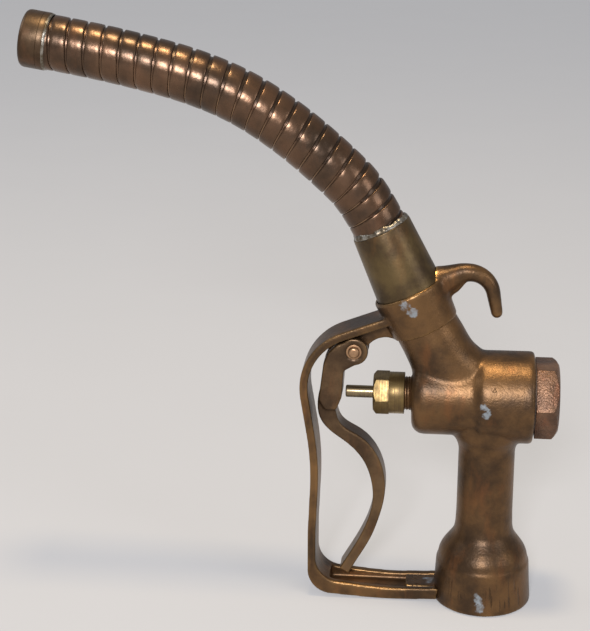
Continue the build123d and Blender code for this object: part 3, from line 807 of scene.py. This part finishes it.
for node, finish in (("seat_disc", leather), ("packing_rings", packing)):
    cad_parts[node].data.materials.clear()
    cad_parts[node].data.materials.append(finish)

# %% [markdown]
# The valve spring cannot ride on the body alone, because the stem pushes its
# inner end towards the cap as the stem slides, over a travel of 6.6 mm. Here it
# rides on the body all the same, with a mesh of its own, and is not squeezed.

# %% The valve spring
spring = blank("valve_spring", "valve_spring_shell")
creased(spring, 50)
place_on(spring, "root", "spring_steel", spring_steel, "valve_spring")
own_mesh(spring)

# %% [markdown]
# ## The spout's lower ferrule
# A plain tapered sleeve of brass. Its narrow foot disappears into the collar,
# and its bore holds the hose by solder. It is turned as one hollow profile,
# whose last ring meets its first.

# %% The lower ferrule
ferrule = lathe(
    "spout_ferrule_shell",
    [
        (46.0, 10.8),
        (46.0, 12.5),
        (58.0, 12.5),
        (58.0, 16.9),
        (62.0, 16.9),
        (94.6, 15.05),
        (95.2, 14.9),
        (95.5, 14.5),
        (95.5, 13.55),
        (83.0, 13.5),
        (83.0, 10.8),
    ],
    along_neck,
    128,
    hollow=True,
)
creased(ferrule, 35)
place_on(ferrule, "root", "ferrule_brass", ferrule_brass, "spout_ferrule")

# %% [markdown]
# ## The wound hose
# The spout is a strip of copper alloy, folded and wound so that each turn
# hooks into the next. It bends because the turns slide: on the inside of the
# bend they close up, on the outside they open. The profile of one turn is
# drawn once and wound by the Screw modifier into a straight tube. A Curve
# modifier could bend it, but would stretch the metal with the gaps. So each
# point is moved to the spout's line in code, where the metal of a turn keeps
# its width and only the gaps open.

# %% The hose's line
hose_start = 83.0
hose_first_run = 28.0
hose_run = 26.8
hose_headings = (45.8, 50.6, 57.5, 68.6, 75.8, 77.9, 80.4)
x = neck_root[0] - hose_start * sin(neck_lean)
z = neck_root[1] + hose_start * cos(neck_lean)
hose_points = [(x, z)]
for run, heading in [(hose_first_run, 25.0)] + [(hose_run, h) for h in hose_headings]:
    x -= run * sin(radians(heading))
    z += run * cos(radians(heading))
    hose_points.append((x, z))
line_data = bpy.data.curves.new("hose_line", "CURVE")
line_data.dimensions = "3D"
line_data.twist_mode = "MINIMUM"
spline = line_data.splines.new("NURBS")
spline.points.add(len(hose_points) - 1)
for point, (x, z) in zip(spline.points, hose_points):
    point.co = (x * MM, 0, z * MM, 1)
spline.order_u = 3
spline.use_endpoint_u = True
spline.resolution_u = 24
hose_line = bpy.data.objects.new("hose_line", line_data)
bpy.context.scene.collection.objects.link(hose_line)
line_mesh = bpy.data.meshes.new_from_object(hose_line)
line_points = np.array([v.co for v in line_mesh.vertices]) / MM
bpy.data.meshes.remove(line_mesh)
line_steps = np.diff(line_points, axis=0)
step_lengths = np.linalg.norm(line_steps, axis=1)
line_places = np.concatenate([[0.0], np.cumsum(step_lengths)])
step_middles = (line_places[1:] + line_places[:-1]) / 2
hose_length = line_places[-1]
step_angles = np.unwrap(np.arctan2(-line_steps[:, 0], line_steps[:, 2]))
step_bends = np.gradient(step_angles, step_middles)
line_angles = np.interp(line_places, step_middles, step_angles)
print("hose length, mm:", round(hose_length, 1))

# %% [markdown]
# The strip's outer face is slightly crowned, with rounded shoulders, and it
# ends in a step. Between two turns lies the narrow hooked edge of the next
# turn, a little deeper, which shows as a thin strip where the bend opens. The
# strip is wound too long at both ends and cut off square. Each cut leaves the
# loops of the outer and the inner skin, which are filled together as one wall.

# %% Wind the strip
hose_pitch = 8.6
strip_start = -3.82
turn_profile = (
    (strip_start, 12.3),
    (-3.80, 12.8),
    (-3.68, 13.12),
    (-3.42, 13.34),
    (-3.0, 13.45),
    (-1.6, 13.5),
    (1.6, 13.5),
    (3.2, 13.46),
    (3.6, 13.36),
    (3.78, 13.12),
    (3.82, 12.7),
    (3.84, 12.2),
    (3.98, 12.2),
    (4.02, 12.55),
    (4.62, 12.6),
    (4.66, 12.3),
    (strip_start + hose_pitch, 12.3),
)
bore_profile = (
    (strip_start, 10.85),
    (-2.4, 10.85),
    (-2.3, 11.2),
    (1.0, 11.2),
    (1.1, 10.85),
    (strip_start + hose_pitch, 10.85),
)
turns = 29
phase = -1.5
lead_in = 1.5 * hose_pitch
end_reach = 0.02


def wound(name, profile, steps):
    """A profile of (distance, radius) points wound round +Z as one long strip."""
    mesh = bpy.data.meshes.new(name)
    points = [(radius * MM, 0, (distance + phase) * MM) for distance, radius in profile]
    mesh.from_pydata(points, [(i, i + 1) for i in range(len(points) - 1)], [])
    strip = bpy.data.objects.new(name, mesh)
    bpy.context.scene.collection.objects.link(strip)
    strip.location.z = -lead_in * MM
    only(strip)
    bpy.ops.object.transform_apply(location=True)
    shaped(
        strip,
        "SCREW",
        axis="Z",
        screw_offset=hose_pitch * MM,
        iterations=turns,
        steps=steps,
        render_steps=steps,
        use_merge_vertices=True,
        merge_threshold=0.00001,
    )
    outward(strip, 0.00002)
    for height, above in ((0.0, False), (hose_length * MM, True)):
        only(strip)
        bpy.ops.object.mode_set(mode="EDIT")
        bpy.ops.mesh.select_all(action="SELECT")
        bpy.ops.mesh.bisect(
            plane_co=(0, 0, height),
            plane_no=(0, 0, 1),
            threshold=0.0000001,
            clear_inner=not above,
            clear_outer=above,
        )
        bpy.ops.object.mode_set(mode="OBJECT")
    return strip


hose = wound("hose_shell", turn_profile, 72)
hose = joined(hose, wound("hose_bore", bore_profile, 72))
bpy.ops.object.mode_set(mode="EDIT")
bpy.ops.mesh.select_mode(type="EDGE")
for height in (0.0, hose_length):
    bpy.ops.mesh.select_all(action="DESELECT")
    bpy.ops.object.mode_set(mode="OBJECT")
    heights = points_of(hose)[:, 2]
    mesh = hose.data
    uses = np.zeros(len(mesh.edges), int)
    loops = np.empty(len(mesh.loops), int)
    mesh.loops.foreach_get("edge_index", loops)
    np.add.at(uses, loops, 1)
    ends = np.empty(len(mesh.edges) * 2, int)
    mesh.edges.foreach_get("vertices", ends)
    near = (np.abs(heights[ends.reshape(-1, 2)] - height) < end_reach).all(axis=1)
    mesh.edges.foreach_set("select", (near & (uses == 1)))
    bpy.ops.object.mode_set(mode="EDIT")
    bpy.ops.mesh.fill()
bpy.ops.mesh.select_mode(type="VERT")
bpy.ops.object.mode_set(mode="OBJECT")
outward(hose)
print("strip wound:", len(hose.data.polygons), "faces")

# %% Bend it, and open the gaps on the outer side


metal_half = 3.84
metal_reach = 3.9
least_gap = 0.35


def bent(points):
    """Bend the straight strip, in millimetres round +Z, along the hose's line. The bend
    stretches each turn, so its metal is drawn together and its gap takes up the rest."""
    start = phase - lead_in
    round_way = np.arctan2(points[:, 1], points[:, 0]) / (2 * pi)
    turn = np.round((points[:, 2] - start) / hose_pitch - round_way)
    middle = start + (turn + round_way) * hose_pitch
    stretch = 1.0 + np.interp(middle, step_middles, step_bends) * points[:, 0]
    offset = points[:, 2] - middle
    metal = np.abs(offset) < metal_reach
    widest = 0.5 * (hose_pitch * stretch - least_gap)
    width = np.minimum(metal_half, widest) / metal_half
    squeeze = np.where(metal, width / stretch, 1.0)
    gap = (offset - metal_half) / (hose_pitch - 2 * metal_half)
    edge = metal_half * width / stretch
    opened = edge + gap * (hose_pitch - 2 * edge)
    moved = np.where(metal, offset * squeeze, opened)
    along = np.clip(middle + moved, 0.0, hose_length)
    flat_end = (points[:, 2] < end_reach) | (points[:, 2] > hose_length - end_reach)
    along = np.where(flat_end, points[:, 2], along)
    x = np.interp(along, line_places, line_points[:, 0])
    z = np.interp(along, line_places, line_points[:, 2])
    angle = np.interp(along, line_places, line_angles)
    x = x + points[:, 0] * np.cos(angle)
    z = z + points[:, 0] * np.sin(angle)
    return np.column_stack([x, points[:, 1], z])


move_points(hose, bent(points_of(hose)))
outward(hose)
spans = points_of(hose)[[edge.vertices[:] for edge in hose.data.edges]]
span_lengths = np.linalg.norm(spans[:, 0] - spans[:, 1], axis=1)
print("longest hose edge, mm:", round(float(span_lengths.max()), 2))
mark_wear(hose, reach=3, gain=1.2)
creased(hose, 40)
place_on(hose, "root", "hose_copper", hose_copper, "spout_hose")
bpy.data.objects.remove(hose_line)

# %% [markdown]
# ## The spout's tip, and the solder
# The tip is a spun ring with a rolled mouth, soldered on. Solder freezes as
# it runs, so its beads are rings whose thickness wanders.

# %% The tip
tip_length = 12.0
tip_outer = 14.1
tip_from = hose_length + 3.0 - tip_length


def at_tip(piece):
    """Put a piece that was turned round +Z, from the hose's start, at the hose's tip."""
    points = points_of(piece)
    angle = line_angles[-1]
    along = points[:, 2] - hose_length
    x = line_points[-1, 0] - along * sin(angle) + points[:, 0] * cos(angle)
    z = line_points[-1, 2] + along * cos(angle) + points[:, 0] * sin(angle)
    move_points(piece, np.column_stack([x, points[:, 1], z]))
    return outward(piece)


tip = lathe(
    "tip_shell",
    [
        (tip_from, 13.52),
        (tip_from, 13.95),
        (tip_from + 0.25, tip_outer),
        (tip_from + 2.9, tip_outer),
        (tip_from + 3.05, tip_outer - 0.14),
        (tip_from + 3.2, tip_outer),
        (tip_from + 9.9, tip_outer),
        (tip_from + 10.9, tip_outer - 0.22),
        (tip_from + 11.6, tip_outer - 0.75),
        (tip_from + 11.95, tip_outer - 1.5),
        (tip_from + 12.0, tip_outer - 2.3),
        (tip_from + 11.8, 11.15),
        (tip_from + 11.3, 10.85),
        (tip_from + 9.0, 10.8),
        (tip_from + 9.0, 13.52),
    ],
    sides=128,
    hollow=True,
)
at_tip(tip)
creased(tip, 35)
place_on(tip, "root", "tip_brass", tip_brass, "tip_ferrule")

# %% The solder beads


def bead(name, rings, wander, seed, place=upright):
    """A ring of solder whose height and width wander round it."""
    ring = lathe(name, rings, sides=180, hollow=True)
    points = points_of(ring)
    base = rings[0][1]
    start = rings[0][0]
    for index, (x, y, z) in enumerate(points):
        angle = Vector((x, y, 0)).normalized()
        lump = noise.noise(angle * 2.2 + Vector((0, 0, seed)))
        ripple = noise.noise(angle * 7.0 + Vector((0, 0, seed + 5)))
        swell = 1.0 + wander * (lump + 0.45 * ripple)
        radius = Vector((x, y, 0)).length
        radius = base + (radius - base) * swell
        points[index] = (angle.x * radius, angle.y * radius, start + (z - start) * swell)
    move_points(ring, points)
    return settle(ring, place)


ferrule_bead = bead(
    "ferrule_bead",
    [(95.2, 13.3), (95.3, 14.7), (95.7, 14.95), (96.4, 14.85), (97.2, 14.4), (97.8, 13.9), (98.0, 13.3)],
    0.45,
    1.7,
    along_neck,
)
creased(ferrule_bead, 60)
place_on(ferrule_bead, "root", "solder", solder, "ferrule_solder")

tip_bead = bead(
    "tip_bead",
    [
        (tip_from - 1.3, 13.3),
        (tip_from - 1.25, 13.6),
        (tip_from - 0.9, 13.8),
        (tip_from - 0.4, 13.9),
        (tip_from - 0.02, 14.0),
        (tip_from, 13.3),
    ],
    0.25,
    9.3,
)
at_tip(tip_bead)
creased(tip_bead, 60)
place_on(tip_bead, "root", "solder", solder, "tip_solder")

# %% [markdown]
# ## The floor
# A wide pale sheet, just under the inlet, fills the whole background. It
# glows a little, so that it stays pale however far it lies from the lamps.

# %% Floor
floor_size = 12.0
floor_drop = 0.0003
paper = Recipe("floor_paper")
paper_tone = paper.noise(6.0, 3.0)
paper_finish = paper.surface(
    Base_Color=paper.mix(paper_tone, (0.255, 0.25, 0.25), (0.275, 0.27, 0.27)),
    Emission_Color=(0.50, 0.50, 0.515, 1.0),
    Emission_Strength=0.64,
    Roughness=0.9,
)
bpy.ops.object.select_all(action="DESELECT")
bpy.ops.mesh.primitive_plane_add(size=floor_size, location=(0, 0, -floor_drop))
floor = bpy.context.object
floor.name = "floor"
floor.data.materials.append(paper_finish)
floor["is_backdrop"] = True

# %% [markdown]
# ## The last measurement
# Both boxes' sizes are printed, the frame's first and then the visual model's.

# %% Sizes
visual_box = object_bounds()
for low, high in (cad_box, visual_box):
    print([round(h - l, 4) for l, h in zip(low, high)])
